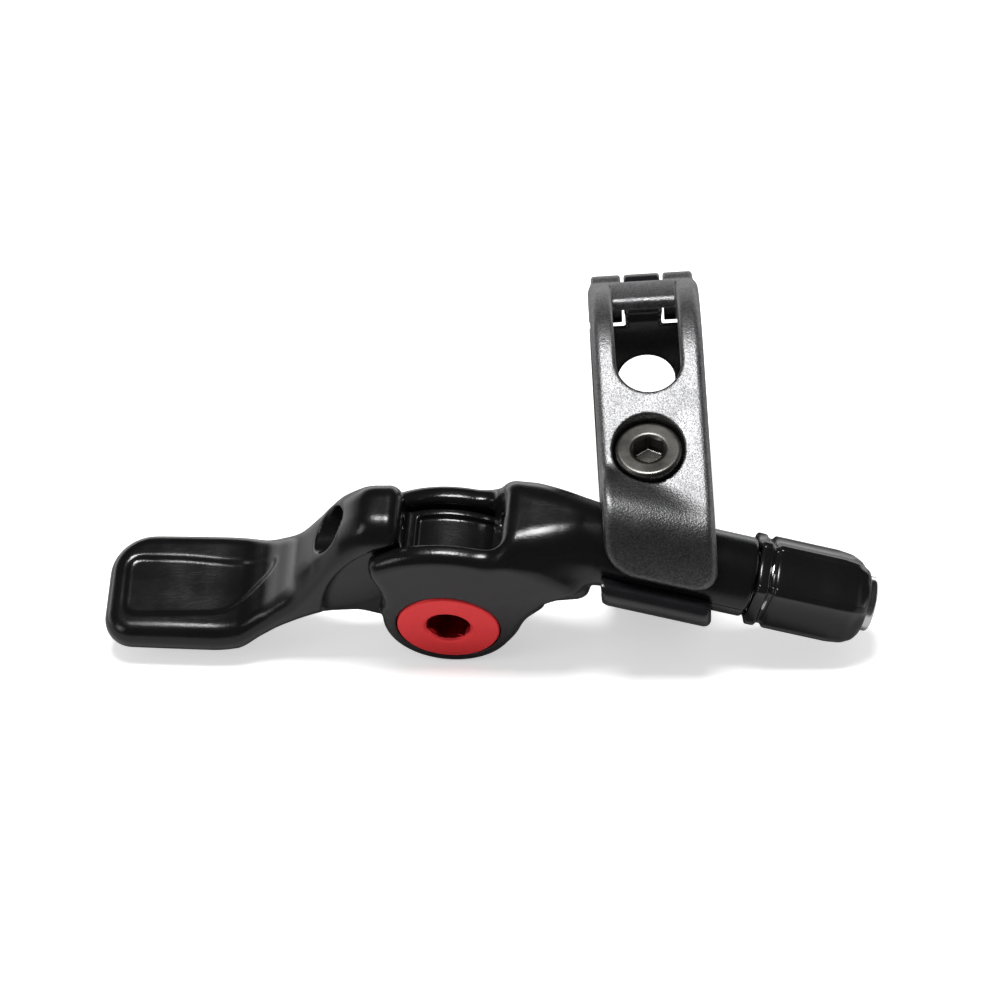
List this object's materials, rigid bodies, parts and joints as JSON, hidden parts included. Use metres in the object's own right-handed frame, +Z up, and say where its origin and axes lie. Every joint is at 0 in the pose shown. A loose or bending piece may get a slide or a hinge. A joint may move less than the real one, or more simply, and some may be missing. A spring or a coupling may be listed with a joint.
{
  "type": "dropper post remote lever",
  "caption": "Thumb lever on a swivelling clevis body, with a hinged handlebar clamp and a fluted cable adjuster.",
  "frame": {"origin": "centre of the handlebar bore, midway across the clamp", "axes": "+X along the handlebar towards the cable adjuster, +Y away from the thumb side, +Z up"},
  "size_m": [0.081, 0.0429, 0.0324],
  "materials": {
    "black_anodised": "satin black anodised",
    "black_gloss": "satin-gloss black anodised",
    "blasted_grey": "bead-blasted grey",
    "black_oxide": "black oxide",
    "red_anodised": "red anodised",
    "steel": "ground",
    "seal_rubber": "matt",
    "bright_metal": "bright turned",
    "knob_plastic": "moulded, semi-gloss"
  },
  "bodies": {
    "clamp": {"rear_clamp": "black_anodised", "hinge_pin": "steel"},
    "clamp_front": {"front_clamp": "blasted_grey"},
    "bolt": {"clamp_bolt": "black_oxide"},
    "body": {"lever_body": "black_gloss", "pivot_axle": "red_anodised", "bearing_spacer": "steel", "front_bearing_inner": "steel", "rear_bearing_inner": "steel", "front_thrust_washer": "steel", "rear_thrust_washer": "steel"},
    "lever": {"lever_blade": "black_gloss", "front_bearing_outer": "steel", "rear_bearing_outer": "steel", "front_bearing_shield": "seal_rubber", "rear_bearing_shield": "seal_rubber"},
    "bearing_cages": {"front_bearing_cage": "steel", "rear_bearing_cage": "steel"},
    "seat": {"adjuster_seat": "bright_metal"},
    "adjuster": {"adjuster_knob": "knob_plastic", "adjuster_barrel": "bright_metal", "adjuster_spring": "steel"}
  },
  "joints": [
    {"name": "clamp_hinge", "type": "hinge", "parent": "clamp", "child": "clamp_front", "pos_m": [0, 0.01018, 0.00917], "axis": [-1, 0, 0], "range_deg": [0, 1.6]},
    {"name": "bolt_back_out", "type": "slide", "parent": "clamp", "child": "bolt", "axis": [0, -0.3206, 0.9472], "range_m": [0, 0.00085]},
    {"name": "tube_swivel", "type": "hinge", "parent": "clamp", "child": "body", "pos_m": [0, -0.0219, -0.00276], "axis": [0.9455, 0, -0.3256], "range_deg": [-30, 30]},
    {"name": "lever_pivot", "type": "hinge", "parent": "body", "child": "lever", "pos_m": [-0.02182, -0.01668, -0.00807], "axis": [-0.1288, -0.9184, -0.374], "range_deg": [0, 28]},
    {"name": "cage_spin", "type": "hinge", "parent": "body", "child": "bearing_cages", "pos_m": [-0.02182, -0.01668, -0.00807], "axis": [-0.1288, -0.9184, -0.374], "range_deg": [0, 16]},
    {"name": "adjuster_slide", "type": "slide", "parent": "body", "child": "seat", "axis": [0.9455, 0, -0.3256], "range_m": [0, 0.004]},
    {"name": "adjuster_turn", "type": "hinge", "parent": "seat", "child": "adjuster", "pos_m": [0, -0.0219, -0.00276], "axis": [0.9455, 0, -0.3256], "range_deg": [0, 1440]}
  ],
  "couplings": [
    {"joint": "bolt_back_out", "follows": "clamp_hinge", "m_per_rad": 0.0285},
    {"joint": "cage_spin", "follows": "lever_pivot", "ratio": 0.55},
    {"joint": "adjuster_turn", "follows": "adjuster_slide", "rad_per_m": 6283.2}
  ]
}
